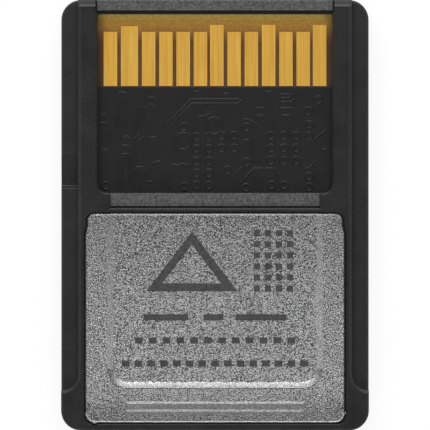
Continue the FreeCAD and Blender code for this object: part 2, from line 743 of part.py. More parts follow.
def make_label_shell():
    """The lower moulded half: a tray with the label's recess, a weld tongue and two posts."""
    body = new_body("label_shell")
    block = new_sketch(body, "block")
    add_outline(block, centred_box(SIDE, REAR, FRONT, "card.corner_radius", "card.corner_radius"))
    pad(body, block, "card.seam_height")
    soften(body, "Fillet", "card.label_edge_round", lambda box: at_level(box, "0"))
    soften(body, "Chamfer", "card.seam_bevel", lambda box: at_level(box, "card.seam_height"))

    hollow = new_sketch(body, "hollow", "card.seam_height")
    radius = "card.shell_corner_radius"
    add_outline(hollow, centred_box(HOLLOW_SIDE, HOLLOW_REAR, HOLLOW_FRONT, radius, radius))
    pocket(body, hollow, "card.seam_height - card.label_wall")

    recess = new_sketch(body, "label_recess")
    add_outline(
        recess,
        centred_box(
            f"({SIDE} - card.label_side_margin)",
            f"({REAR} + card.label_end_margin)",
            f"({FRONT} - card.label_end_margin)",
            "card.label_radius",
            "card.label_radius",
        ),
    )
    pocket(body, recess, "card.label_depth", reverse=True)

    tongue = new_sketch(body, "tongue", "card.seam_height")
    add_outline(tongue, tongue_outline("0"))
    pad(body, tongue, "card.tongue_height")

    posts = new_sketch(body, "posts", "card.seam_height")
    for across in (f"-{POST_SIDE}", POST_SIDE):
        add_circle(posts, across, "card.post_place", "card.post_radius")
    pad(body, posts, "card.post_height")
    return body


def make_circuit_board():
    """The board: bare in the contact area, with a notch on each side for a locating post."""
    body = new_body("circuit_board")
    outline = new_sketch(body, "outline", "card.seam_height")
    radius = "card.board_corner_radius"
    add_outline(outline, centred_box(BOARD_SIDE, BOARD_REAR, BOARD_FRONT, radius, radius))
    pad(body, outline, "card.board_thickness")

    bare = new_sketch(body, "contact_area", BOARD_TOP)
    beyond = f"({BOARD_SIDE} + {OVERCUT})"
    add_outline(bare, centred_box(beyond, MASK_EDGE, f"({BOARD_FRONT} + {OVERCUT})"))
    pocket(body, bare, "card.mask_thickness")

    notches = new_sketch(body, "post_notches", BOARD_TOP)
    radius = "(card.post_radius + card.post_clearance)"
    rear = f"(card.post_place - {radius})"
    front = f"(card.post_place + {radius})"
    inner = f"({POST_SIDE} - {radius})"
    nearly = f"({radius} - 0.01)"
    add_outline(
        notches,
        [(inner, rear, nearly), (beyond, rear), (beyond, front), (inner, front, nearly)],
    )
    add_outline(
        notches,
        [
            (f"-{beyond}", rear),
            (f"-{inner}", rear, nearly),
            (f"-{inner}", front, nearly),
            (f"-{beyond}", front),
        ],
    )
    pocket(body, notches, "card.board_thickness")
    return body


def make_contacts():
    """The row of gold contacts on the bare area, with one wide contact and three long ones."""
    narrow_gaps = len(NARROW_GAP_BEFORE)
    gaps = f"(({CONTACTS} - 1 - {narrow_gaps}) * card.pad_gap + {narrow_gaps} * card.pad_narrow_gap)"
    left = f"(card.pad_row_gap - {WINDOW_SIDE})"
    regular = f"((-2 * {left} - {gaps}) / ({CONTACTS} - 1 + card.wide_pad_share))"
    contacts = []
    for place in range(1, CONTACTS + 1):
        if place > 1:
            gap = "card.pad_narrow_gap" if place in NARROW_GAP_BEFORE else "card.pad_gap"
            left = f"({left} + {gap})"
        width = regular
        length = "card.pad_length"
        if place == WIDE_CONTACT:
            width = f"({regular} * card.wide_pad_share)"
            length = "(card.pad_length + card.wide_pad_extra)"
        elif place in LONG_CONTACTS:
            length = "(card.pad_length + card.long_pad_extra)"
        contact = doc.addObject("Part::Box", f"contact_pad_{place:02d}")
        contact.setExpression("Length", width)
        contact.setExpression("Width", length)
        contact.setExpression("Height", "card.pad_thickness")
        contact.setExpression("Placement.Base.x", left)
        contact.setExpression("Placement.Base.y", f"{MASK_EDGE} + card.pad_margin")
        contact.setExpression("Placement.Base.z", f"{BOARD_TOP} - card.mask_thickness")
        contacts.append(contact)
        left = f"({left} + {width})"
    return contacts


def nib_outlines(gap):
    """The stubs at the plate's right side and rear edge, grown by a gap."""
    half = f"(card.nib_width / 2 + {gap})"
    side_nib = f"({PLATE_REAR} + card.side_nib_setback)"
    rear_nib = f"(card.rear_nib_inset - {PLATE_SIDE})"
    reach = f"(card.nib_reach + {gap})"
    return (
        box_corners(
            f"({PLATE_SIDE} - {OVERCUT})",
            f"({PLATE_SIDE} + {reach})",
            f"({side_nib} - {half})",
            f"({side_nib} + {half})",
        ),
        box_corners(
            f"({rear_nib} - {half})",
            f"({rear_nib} + {half})",
            f"({PLATE_REAR} - {reach})",
            f"({PLATE_REAR} + {OVERCUT})",
        ),
    )


def field_corners(inset, front):
    """The outline of the plate's sunk field up to a front edge, drawn in by an inset."""
    return centred_box(
        f"({FIELD_SIDE} - {inset})",
        f"({FIELD_REAR} + {inset})",
        front,
        f"(card.field_rear_radius - {inset})",
    )


def stamp(body, kind, name, levels, outlines):
    """Presses a shape with sloping sides into or out of the sheet."""
    sections = []
    for place, (level, outline) in enumerate(zip(levels, outlines)):
        section = new_sketch(body, f"{name}_{place}", level)
        sections.append(add_outline(section, outline))
    return loft(body, kind, sections)


def rib_corners(width, setback, inset):
    """The outline of one nail rib, drawn in by an inset."""
    middle = f"({PLATE_REAR} + {setback})"
    return centred_box(
        f"({PLATE_SIDE} - card.rib_side_margin - {inset})",
        f"({middle} - {width} / 2 + {inset})",
        f"({middle} + {width} / 2 - {inset})",
    )


def make_metal_plate():
    """The stamped plate: a sunk field and two nail ribs, pressed through a sheet."""
    body = new_body("metal_plate")
    outline = new_sketch(body, "outline", PLATE_UNDERSIDE)
    add_outline(outline, plate_outline("0"))
    pad(body, outline, "card.plate_thickness")
    soften(body, "Chamfer", "card.plate_edge_bevel", lambda box: at_level(box, PLATE_TOP))

    for name, kind, level, front in (
        ("field_under", "AdditiveLoft", PLATE_UNDERSIDE, PLATE_FRONT),
        ("field", "SubtractiveLoft", PLATE_TOP, f"({PLATE_FRONT} + {OVERCUT})"),
    ):
        rims = [field_corners("0", front), field_corners("card.field_slope", front)]
        stamp(body, kind, name, (level, f"({level} - card.field_depth)"), rims)

    for corners in nib_outlines("0"):
        nib = new_sketch(body, f"nib{len(body.Group)}", PLATE_UNDERSIDE)
        add_outline(nib, corners)
        pad(body, nib, "card.plate_thickness - card.plate_edge_bevel")

    for name, width, setback in (
        ("front_rib", "card.front_rib_width", "card.front_rib_setback"),
        ("rear_rib", "card.rear_rib_width", "card.rear_rib_setback"),
    ):
        outlines = [rib_corners(width, setback, "0"), rib_corners(width, setback, "card.rib_slope")]
        crest = f"({PLATE_TOP} + card.rib_height)"
        stamp(body, "AdditiveLoft", name, (PLATE_TOP, crest), outlines)
        groove = f"({PLATE_UNDERSIDE} + card.rib_height)"
        stamp(body, "SubtractiveLoft", f"{name}_under", (PLATE_UNDERSIDE, groove), outlines)
    return body


def make_adhesive_film():
    """The U of adhesive film that holds the plate on its seat."""
    body = new_body("plate_adhesive")
    outline = new_sketch(body, "outline", f"{PLATE_UNDERSIDE} - card.film_thickness")
    outer = f"({PLATE_SIDE} - card.film_inset)"
    inner = f"({OPENING_SIDE} + card.board_clearance)"
    outer_rear = f"({PLATE_REAR} + card.film_inset)"
    inner_rear = f"({OPENING_REAR} - card.board_clearance)"
    ends = f"({PLATE_FRONT} - card.plate_front_radius)"
    add_outline(
        outline,
        [
            (f"-{outer}", ends),
            (f"-{outer}", outer_rear, "card.plate_rear_radius"),
            (outer, outer_rear, "card.plate_rear_radius"),
            (outer, ends),
            (inner, ends),
            (inner, inner_rear, "card.field_rear_radius"),
            (f"-{inner}", inner_rear, "card.field_rear_radius"),
            (f"-{inner}", ends),
        ],
    )
    pad(body, outline, "card.film_thickness")
    return body


def make_package(label, left, right, rear, front, height):
    """A moulded chip package hanging under the board: a thin carrier and a smaller mould."""
    body = new_body(label)
    carrier = new_sketch(body, "carrier", "card.seam_height")
    add_outline(carrier, box_corners(left, right, rear, front))
    pad(body, carrier, "card.substrate_thickness", reverse=True)

    inset = "card.mould_inset"
    mould = new_sketch(body, "mould", "card.seam_height - card.substrate_thickness")
    add_outline(
        mould,
        box_corners(
            f"({left} + {inset})",
            f"({right} - {inset})",
            f"({rear} + {inset})",
            f"({front} - {inset})",
            "card.mould_radius",
            "card.mould_radius",
        ),
    )
    pad(body, mould, f"{height} - card.substrate_thickness", reverse=True)
    return body


def make_crystal():
    """The clock crystal: a ceramic base and a seam-welded lid."""
    body = new_body("clock_crystal")
    left = COLUMN_LEFT
    right = f"({left} + {POWER_CHIP_SIZE})"
    rear = CRYSTAL_REAR
    front = f"({rear} + card.crystal_width)"
    base = new_sketch(body, "base", "card.seam_height")
    add_outline(base, box_corners(left, right, rear, front))
    pad(body, base, "card.crystal_height - card.lid_height", reverse=True)

    inset = "card.lid_inset"
    lid = new_sketch(body, "lid", "card.seam_height - card.crystal_height + card.lid_height")
    add_outline(
        lid,
        box_corners(
            f"({left} + {inset})",
            f"({right} - {inset})",
            f"({rear} + {inset})",
            f"({front} - {inset})",
            "card.mould_radius",
            "card.mould_radius",
        ),
    )
    pad(body, lid, "card.lid_height", reverse=True)
    return body


def make_chip_parts(label, size, rear, level, hangs):
    """A row of like chip parts, each a body between two slightly larger metal ends."""
    left = CHIP_ROW_STARTS[label]
    body = new_body(label)
    length = f"card.{size}_length"
    width = f"card.{size}_width"
    height = f"card.{size}_height"
    rise = "card.terminal_rise"
    front = f"({rear} + {length})"
    right = f"({left} + {width})"
    core = new_sketch(body, "core", level)
    add_outline(core, box_corners(f"({left} + {rise})", f"({right} - {rise})", rear, front))
    cores = pad(body, core, f"{height} - {rise}", reverse=hangs)

    ends = new_sketch(body, "ends", level)
    add_outline(ends, box_corners(left, right, rear, f"({rear} + card.terminal_length)"))
    add_outline(ends, box_corners(left, right, f"({front} - card.terminal_length)", front))
    caps = pad(body, ends, height, reverse=hangs)
    repeat(body, [cores, caps], "X_Axis", f"card.{size}_pitch", CHIP_COUNTS[label])
    return body


def make_inductor():
    """The power inductor: a ferrite block with rounded corners beside the power chip."""
    body = new_body("power_inductor")
    left = f"({COLUMN_LEFT} + {POWER_CHIP_SIZE} + card.part_gap)"
    block = new_sketch(body, "block", "card.seam_height")
    radius = "card.mould_radius"
    front = f"({CHIPS_REAR} + {POWER_CHIP_SIZE})"
    add_outline(block, box_corners(left, PARTS_SIDE, CHIPS_REAR, front, radius, radius))
    pad(body, block, "card.inductor_height", reverse=True)
    return body


def make_heat_pad():
    """The soft pad that carries heat from the board to the plate's sunk field."""
    body = new_body("heat_pad")
    outline = new_sketch(body, "outline", BOARD_TOP)
    rear = f"({BYPASS_ROW} + card.capacitor_length + card.part_gap)"
    front = f"({PLATE_FRONT} - card.heat_pad_margin)"
    radius = "card.heat_pad_radius"
    side = f"({FIELD_SIDE} - card.field_slope - card.heat_pad_margin)"
    add_outline(outline, centred_box(side, rear, front, radius, radius))
    pad(body, outline, f"{FIELD_UNDERSIDE} - {BOARD_TOP}")
    return body


def make_inner_parts():
    """What stands on the board inside the card."""
    under = "card.seam_height"
    flash_side = f"({HOLLOW_SIDE} - card.flash_side_margin)"
    signal_row = f"({CHIPS_FRONT} + card.part_gap)"
    resistor_row = f"({CRYSTAL_REAR} + card.crystal_width + card.part_gap)"
    return [
        make_package(
            "flash_package",
            f"-{flash_side}",
            flash_side,
            f"({HOLLOW_REAR} + card.part_margin)",
            f"({CHIPS_REAR} - card.part_gap)",
            "card.flash_height",
        ),
        make_package(
            "controller_chip",
            f"-{PARTS_SIDE}",
            f"({CONTROLLER_SIZE} - {PARTS_SIDE})",
            CHIPS_REAR,
            CHIPS_FRONT,
            "card.controller_height",
        ),
        make_package(
            "power_chip",
            COLUMN_LEFT,
            f"({COLUMN_LEFT} + {POWER_CHIP_SIZE})",
            CHIPS_REAR,
            f"({CHIPS_REAR} + {POWER_CHIP_SIZE})",
            "card.power_chip_height",
        ),
        make_inductor(),
        make_crystal(),
        make_chip_parts("signal_capacitors", "capacitor", signal_row, under, True),
        make_chip_parts("bypass_capacitors", "capacitor", BYPASS_ROW, BOARD_TOP, False),
        make_chip_parts("pull_resistors", "resistor", resistor_row, under, True),
        make_heat_pad(),
    ]


def check_document(pieces):
    """Stops if anything in the document failed, or if a piece isn't a sound solid."""
    for item in doc.Objects:
        if "Invalid" in item.State or "Error" in item.State:
            raise RuntimeError(f"{item.Name} failed: {item.State}")
    for piece in pieces:
        if piece.Shape.isNull() or not piece.Shape.isValid() or not piece.Shape.Solids:
            raise RuntimeError(f"{piece.Label} isn't a sound solid")


def write_pieces(pieces):
    """Writes one file for each piece, named by its label."""
    os.makedirs(PARTS_FOLDER, exist_ok=True)
    for piece in pieces:
        piece.Shape.exportStep(os.path.join(PARTS_FOLDER, f"{piece.Label}.step"))
        box = piece.Shape.BoundBox
        print(
            f"{piece.Label}: {len(piece.Shape.Solids)} solids, {piece.Shape.Volume:.3f} mm3,"
            f" x {box.XMin:.2f} to {box.XMax:.2f}, y {box.YMin:.2f} to {box.YMax:.2f},"
            f" z {box.ZMin:.2f} to {box.ZMax:.2f}"
        )


pieces = [
    make_contact_frame(),
    make_label_shell(),
    make_circuit_board(),
    *make_contacts(),
    make_metal_plate(),
    make_adhesive_film(),
    *make_inner_parts(),
]
doc.recompute()
check_document(pieces)
write_pieces(pieces)
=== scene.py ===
"""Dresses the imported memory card: moulded resin, bare laminate, gold contacts and blasted steel.

Everything is in metres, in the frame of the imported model: +Y is the contact end, +Z the contact
side. Sizes written in millimetres are turned to metres by MM.
"""

import math

import bmesh
import bpy
import numpy as np
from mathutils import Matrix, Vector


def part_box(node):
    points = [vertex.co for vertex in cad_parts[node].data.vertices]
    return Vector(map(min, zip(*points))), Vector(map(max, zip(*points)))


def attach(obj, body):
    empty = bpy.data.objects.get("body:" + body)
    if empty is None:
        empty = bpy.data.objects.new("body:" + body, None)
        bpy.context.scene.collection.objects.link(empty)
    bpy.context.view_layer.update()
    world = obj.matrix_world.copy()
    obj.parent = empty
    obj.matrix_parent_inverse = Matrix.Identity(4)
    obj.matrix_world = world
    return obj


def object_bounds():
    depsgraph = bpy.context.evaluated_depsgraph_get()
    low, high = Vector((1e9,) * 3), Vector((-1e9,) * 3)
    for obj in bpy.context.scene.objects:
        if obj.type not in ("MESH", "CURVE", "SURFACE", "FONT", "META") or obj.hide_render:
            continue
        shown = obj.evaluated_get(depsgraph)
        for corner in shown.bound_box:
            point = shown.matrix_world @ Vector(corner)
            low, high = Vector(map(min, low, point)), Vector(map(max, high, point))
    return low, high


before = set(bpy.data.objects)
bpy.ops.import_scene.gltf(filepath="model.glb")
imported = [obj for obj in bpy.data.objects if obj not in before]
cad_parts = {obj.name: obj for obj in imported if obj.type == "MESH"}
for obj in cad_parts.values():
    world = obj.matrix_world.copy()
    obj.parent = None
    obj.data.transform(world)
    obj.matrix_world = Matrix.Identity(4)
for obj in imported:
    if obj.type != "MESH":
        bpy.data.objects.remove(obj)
cad_low, cad_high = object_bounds()

MM = 0.001

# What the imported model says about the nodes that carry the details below.
FRAME_LOW, FRAME_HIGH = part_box("contact_frame")
_, BOARD_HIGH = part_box("circuit_board")
PLATE_LOW, PLATE_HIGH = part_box("metal_plate")
FIRST_PAD_LOW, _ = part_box("contact_pad_01")
CARD_LENGTH = FRAME_HIGH[1] - FRAME_LOW[1]

# The sunk lands of the frame, whose spark texture is coarser and paler than the rest.
LAND_LEVEL = FRAME_HIGH[2] - 0.3 * MM
FRONT_LAND_SIDE = 7.65 * MM
FRONT_LAND_REAR = FRAME_HIGH[1] - 0.7 * MM
REAR_LAND_SIDE = 6.8 * MM
REAR_LAND_FRONT = 1.43 * MM
REAR_LAND_REAR = 0.58 * MM

# The guide rails' level and the lead-in's steep edge. Both are painted paler: painted light on
# the rails and a painted highlight on the edge.
RAIL_LEVEL = FRAME_HIGH[2] - 0.7 * MM
LEAD_IN_REAR = FRAME_HIGH[1] - 0.45 * MM
LEAD_IN_FRONT = FRAME_HIGH[1] - 0.32 * MM

# The contact area, which the solder mask leaves bare: it starts just behind the contacts. Under
# the window's front edge its laminate is painted palest, painted light that offsets the shadow of
# the window's front wall. Towards both sides it is painted darker, a painted shade from the
# window's side walls.
BARE_EDGE = FIRST_PAD_LOW[1] - 0.09 * MM
BARE_FRONT = 13.06 * MM
PAINTED_SHADE_FROM = 7.0 * MM
PAINTED_SHADE_TO = 7.6 * MM

# The plate's sunk field, its nail ribs and the level of the field's floor.
FIELD_SIDE = 7.0 * MM
FIELD_REAR = PLATE_LOW[1] + 2.26 * MM
FIELD_SLOPE = 0.4 * MM
FIELD_RADIUS = 1.3 * MM
RIB_HEIGHT = 0.035 * MM
MARGIN_LEVEL = PLATE_HIGH[2] - RIB_HEIGHT
FIELD_LEVEL = MARGIN_LEVEL - 0.14 * MM

# The plate's outline without its stubs, and the bevel pressed along it.
PLATE_SIDE = 8.445 * MM
PLATE_REAR = -13.5 * MM
PLATE_FRONT = PLATE_HIGH[1]
PLATE_RADIUS = 0.66 * MM
PLATE_BEVEL = 0.09 * MM

# How far a level or an edge may be missed and still be met.
CLOSE = 0.02 * MM


def linear(code):
    """An sRGB hex colour as the linear red, green, blue and alpha that shaders take."""
    channels = [int(code[place : place + 2], 16) / 255 for place in (1, 3, 5)]
    return [
        value / 12.92 if value <= 0.04045 else ((value + 0.055) / 1.055) ** 2.4
        for value in channels
    ] + [1.0]


def add(tree, kind, inputs=None, **settings):
    """Adds a node with its settings and links.

    An input is a value, another node's output, or another node, of which the output in use is
    linked.
    """
    node = tree.nodes.new(kind)
    for name, value in settings.items():
        setattr(node, name, value)
    for place, value in (inputs or {}).items():
        if isinstance(value, bpy.types.Node):
            value = next(output for output in value.outputs if output.enabled)
        if isinstance(value, bpy.types.NodeSocket):
            tree.links.new(value, node.inputs[place])
        else:
            node.inputs[place].default_value = value
    return node


def new_material(name):
    """An empty material, its tree and the Object coordinates, whole and as X, Y and Z."""
    material = bpy.data.materials.new(name)
    material.use_nodes = True
    tree = material.node_tree
    tree.nodes.clear()
    place = add(tree, "ShaderNodeTexCoord").outputs["Object"]
    return material, tree, place, add(tree, "ShaderNodeSeparateXYZ", {0: place}).outputs


def finish_material(material, colour, roughness, relief, depth, metallic=0.0, **sockets):
    """Ends a material in one Principled shader, with a relief whose height of 1 is the depth."""
    tree = material.node_tree
    inputs = {
        "Base Color": colour,
        "Roughness": roughness,
        "Metallic": metallic,
        "Normal": add(tree, "ShaderNodeBump", {"Height": relief, "Distance": depth}),
    }
    inputs.update({name.replace("_", " "): value for name, value in sockets.items()})
    shader = add(tree, "ShaderNodeBsdfPrincipled", inputs)
    add(tree, "ShaderNodeOutputMaterial", {"Surface": shader})
    return material


def grain(tree, place, size, detail, roughness=0.55, along=1.0):
    """Grains about size across, and longer along Y by a factor, as a value from 0 to 1."""
    scale = (1 / size, 1 / (size * along), 1 / size)
    scaled = add(tree, "ShaderNodeMapping", {"Vector": place, "Scale": scale})
    inputs = {"Vector": scaled, "Scale": 1.0, "Detail": detail, "Roughness": roughness}
    return add(tree, "ShaderNodeTexNoise", inputs)


def inside(tree, *ranges):
    """1 where each range's value lies from its low to its high, otherwise 0."""
    found = []
    for value, low, high in ranges:
        limits = {0: value, 1: (low + high) / 2, 2: (high - low) / 2}
        found.append(add(tree, "ShaderNodeMath", limits, operation="COMPARE"))
    share = found[0]
    for other in found[1:]:
        share = add(tree, "ShaderNodeMath", {0: share, 1: other}, operation="MULTIPLY")
    return share


def shades(tree, value, low, high, *stops):
    """A value from low to high turned to the shades of the stops, each a share and a hex code."""
    share = add(tree, "ShaderNodeMapRange", {0: value, 1: low, 2: high})
    node = add(tree, "ShaderNodeValToRGB", {0: share})
    elements = node.color_ramp.elements
    while len(elements) < len(stops):
        elements.new(0.5)
    for element, (position, code) in zip(elements, stops):
        element.position = position
        element.color = linear(code)
    return node.outputs["Color"]


def moulded_resin(name, lands):
    """Glass-filled black resin from a spark-eroded mould: a fine even satin, slightly clouded.

    The lands are eroded coarser, so they scatter more light and look a dull grey. The rails are
    painted a shade paler, painted light that offsets the shade on them below the frame's raised
    middle, and the lead-in's steep edge paler still, a painted highlight. Real craters are some
    hundredths of a millimetre across, and are drawn coarser so that they show.
    """
    material, tree, place, axes = new_material(name)
    fine = grain(tree, place, 0.14 * MM, detail=3.0)
    cloud = grain(tree, place, 1.6 * MM, detail=3.0)
    mottle = add(tree, "ShaderNodeMath", {0: fine, 1: cloud}, operation="ADD")
    colour = shades(tree, mottle, 0.7, 1.3, (0.0, "#050505"), (1.0, "#1d1d1e"))
    roughness = add(tree, "ShaderNodeMix", {0: fine, 2: 0.40, 3: 0.58})
    relief = fine
    if lands:
        rails = add(
            tree, "ShaderNodeMath", {0: axes["Z"], 1: RAIL_LEVEL + CLOSE}, operation="LESS_THAN"
        )
        # Painted light: the rails are drawn paler to offset the shade beside the frame's raised
        # middle.
        rail_painted_light = shades(tree, mottle, 0.7, 1.3, (0.0, "#111112"), (1.0, "#202021"))
        # Painted highlight along the lead-in's steep edge.
        painted_highlight_band = inside(
            tree,
            (axes["Y"], LEAD_IN_REAR, LEAD_IN_FRONT),
            (axes["Z"], LAND_LEVEL + 0.1 * MM, FRAME_HIGH[2]),
        )
        painted_highlight_colour = shades(tree, mottle, 0.6, 1.4, (0.0, "#2e2e2f"), (1.0, "#3a3a3b"))
        front = inside(
            tree,
            (axes["X"], -FRONT_LAND_SIDE, FRONT_LAND_SIDE),
            (axes["Y"], FRONT_LAND_REAR, FRAME_HIGH[1] + MM),
            (axes["Z"], LAND_LEVEL - CLOSE, LAND_LEVEL + CLOSE),
        )
        rear = inside(
            tree,
            (axes["X"], -REAR_LAND_SIDE, REAR_LAND_SIDE),
            (axes["Y"], REAR_LAND_REAR, REAR_LAND_FRONT),
            (axes["Z"], LAND_LEVEL - CLOSE, LAND_LEVEL + CLOSE),
        )
        land = add(tree, "ShaderNodeMath", {0: front, 1: rear}, operation="MAXIMUM")
        coarse = grain(tree, place, 0.17 * MM, detail=4.0, roughness=0.7)
        land_colour = shades(tree, coarse, 0.35, 0.65, (0.0, "#313131"), (1.0, "#585858"))
        for share, shade in ((rails, rail_painted_light), (painted_highlight_band, painted_highlight_colour), (land, land_colour)):
            colour = add(tree, "ShaderNodeMix", {0: share, 6: colour, 7: shade}, data_type="RGBA")
        relief = add(tree, "ShaderNodeMix", {0: land, 2: fine, 3: coarse})
    return finish_material(
        material, colour, roughness, relief, 0.008 * MM, Specular_IOR_Level=0.3
    )


def solder_mask_and_laminate():
    """Satin black solder mask, and the bare amber laminate that it leaves round the contacts.

    The laminate is olive near the window's front edge, warmer towards the contacts and darker
    brown in the gaps between them. Near the window's front edge it is painted much paler, painted
    light that offsets the front wall's shadow, and towards both sides it is painted darker, a
    painted shade from the side walls. Its weave mottles it.
    """
    material, tree, place, axes = new_material("satin_solder_mask_and_bare_laminate")
    cloud = grain(tree, place, 0.9 * MM, detail=3.0)
    weave = grain(tree, place, 0.16 * MM, detail=2.0)
    mask = shades(tree, cloud, 0.3, 0.7, (0.0, "#0c0c0c"), (1.0, "#141414"))
    # The stops from 0.945 up are painted light, offsetting the shadow of the window's front wall.
    bare = shades(
        tree,
        axes["Y"],
        BARE_EDGE,
        BARE_FRONT,
        (0.0, "#43322a"),
        (0.10, "#51381c"),
        (0.60, "#583915"),
        (0.73, "#79522a"),
        (0.80, "#92661e"),
        (0.92, "#a47d2c"),
        (0.945, "#c89f40"),
        (0.97, "#e0bc5c"),
        (1.0, "#e4c670"),
    )
    across = add(tree, "ShaderNodeMath", {0: axes["X"]}, operation="ABSOLUTE")
    # The weave mottles the laminate; the second factor is painted shade towards both sides.
    for factor in (
        shades(tree, weave, 0.3, 0.7, (0.0, "#d8d8d8"), (1.0, "#ffffff")),
        shades(tree, across, PAINTED_SHADE_FROM, PAINTED_SHADE_TO, (0.0, "#ffffff"), (1.0, "#cccccc")),
    ):
        inputs = {0: 1.0, 6: bare, 7: factor}
        bare = add(tree, "ShaderNodeMix", inputs, data_type="RGBA", blend_type="MULTIPLY")
    is_bare = inside(tree, (axes["Y"], BARE_EDGE, BOARD_HIGH[1] + MM))
    colour = add(tree, "ShaderNodeMix", {0: is_bare, 6: mask, 7: bare}, data_type="RGBA")
    roughness = add(tree, "ShaderNodeMix", {0: is_bare, 2: 0.42, 3: 0.55})
    return finish_material(
        material, colour, roughness, cloud, 0.006 * MM, Specular_IOR_Level=0.3
    )


def hard_gold():
    """Hard gold plating, wiped along the contacts: fine streaks along Y, a soft sheen.

    Real streaks are some micrometres across, and are drawn coarser so that they show.
    """
    material, tree, place, _ = new_material("brushed_hard_gold")
    streaks = grain(tree, place, 0.09 * MM, detail=2.0, along=50.0)
    broad = grain(tree, place, 0.5 * MM, detail=1.0, along=6.0)
    mixed = add(tree, "ShaderNodeMath", {0: broad, 1: 0.3, 2: streaks}, operation="MULTIPLY_ADD")
    colour = shades(tree, mixed, 0.45, 0.85, (0.0, "#dda746"), (1.0, "#f1c15b"))
    return finish_material(material, colour, 0.42, streaks, 0.003 * MM, metallic=1.0)


def outline_distance(tree, axes, side, rear, front, radius):
    """How far a point lies outside a rectangle with rounded corners, below 0 inside it.

    The rectangle reaches side to both sides and from rear to front. With q the distances beyond
    its sides and ends moved in by the radius, the result is the length of the positive parts of
    q, plus the larger part of q where both are negative, less the radius.
    """

    def calculate(operation, first, second=0.0):
        return add(tree, "ShaderNodeMath", {0: first, 1: second}, operation=operation)

    across = calculate("ABSOLUTE", axes["X"])
    along = calculate("ABSOLUTE", calculate("SUBTRACT", axes["Y"], (rear + front) / 2))
    beside = calculate("SUBTRACT", across, side - radius)
    beyond = calculate("SUBTRACT", along, (front - rear) / 2 - radius)
    outer = {0: calculate("MAXIMUM", beside), 1: calculate("MAXIMUM", beyond)}
    joined = add(tree, "ShaderNodeCombineXYZ", outer)
    length = add(tree, "ShaderNodeVectorMath", {0: joined}, operation="LENGTH")
    inner = calculate("MINIMUM", calculate("MAXIMUM", beside, beyond))
    return calculate("SUBTRACT", calculate("ADD", length, inner), radius)


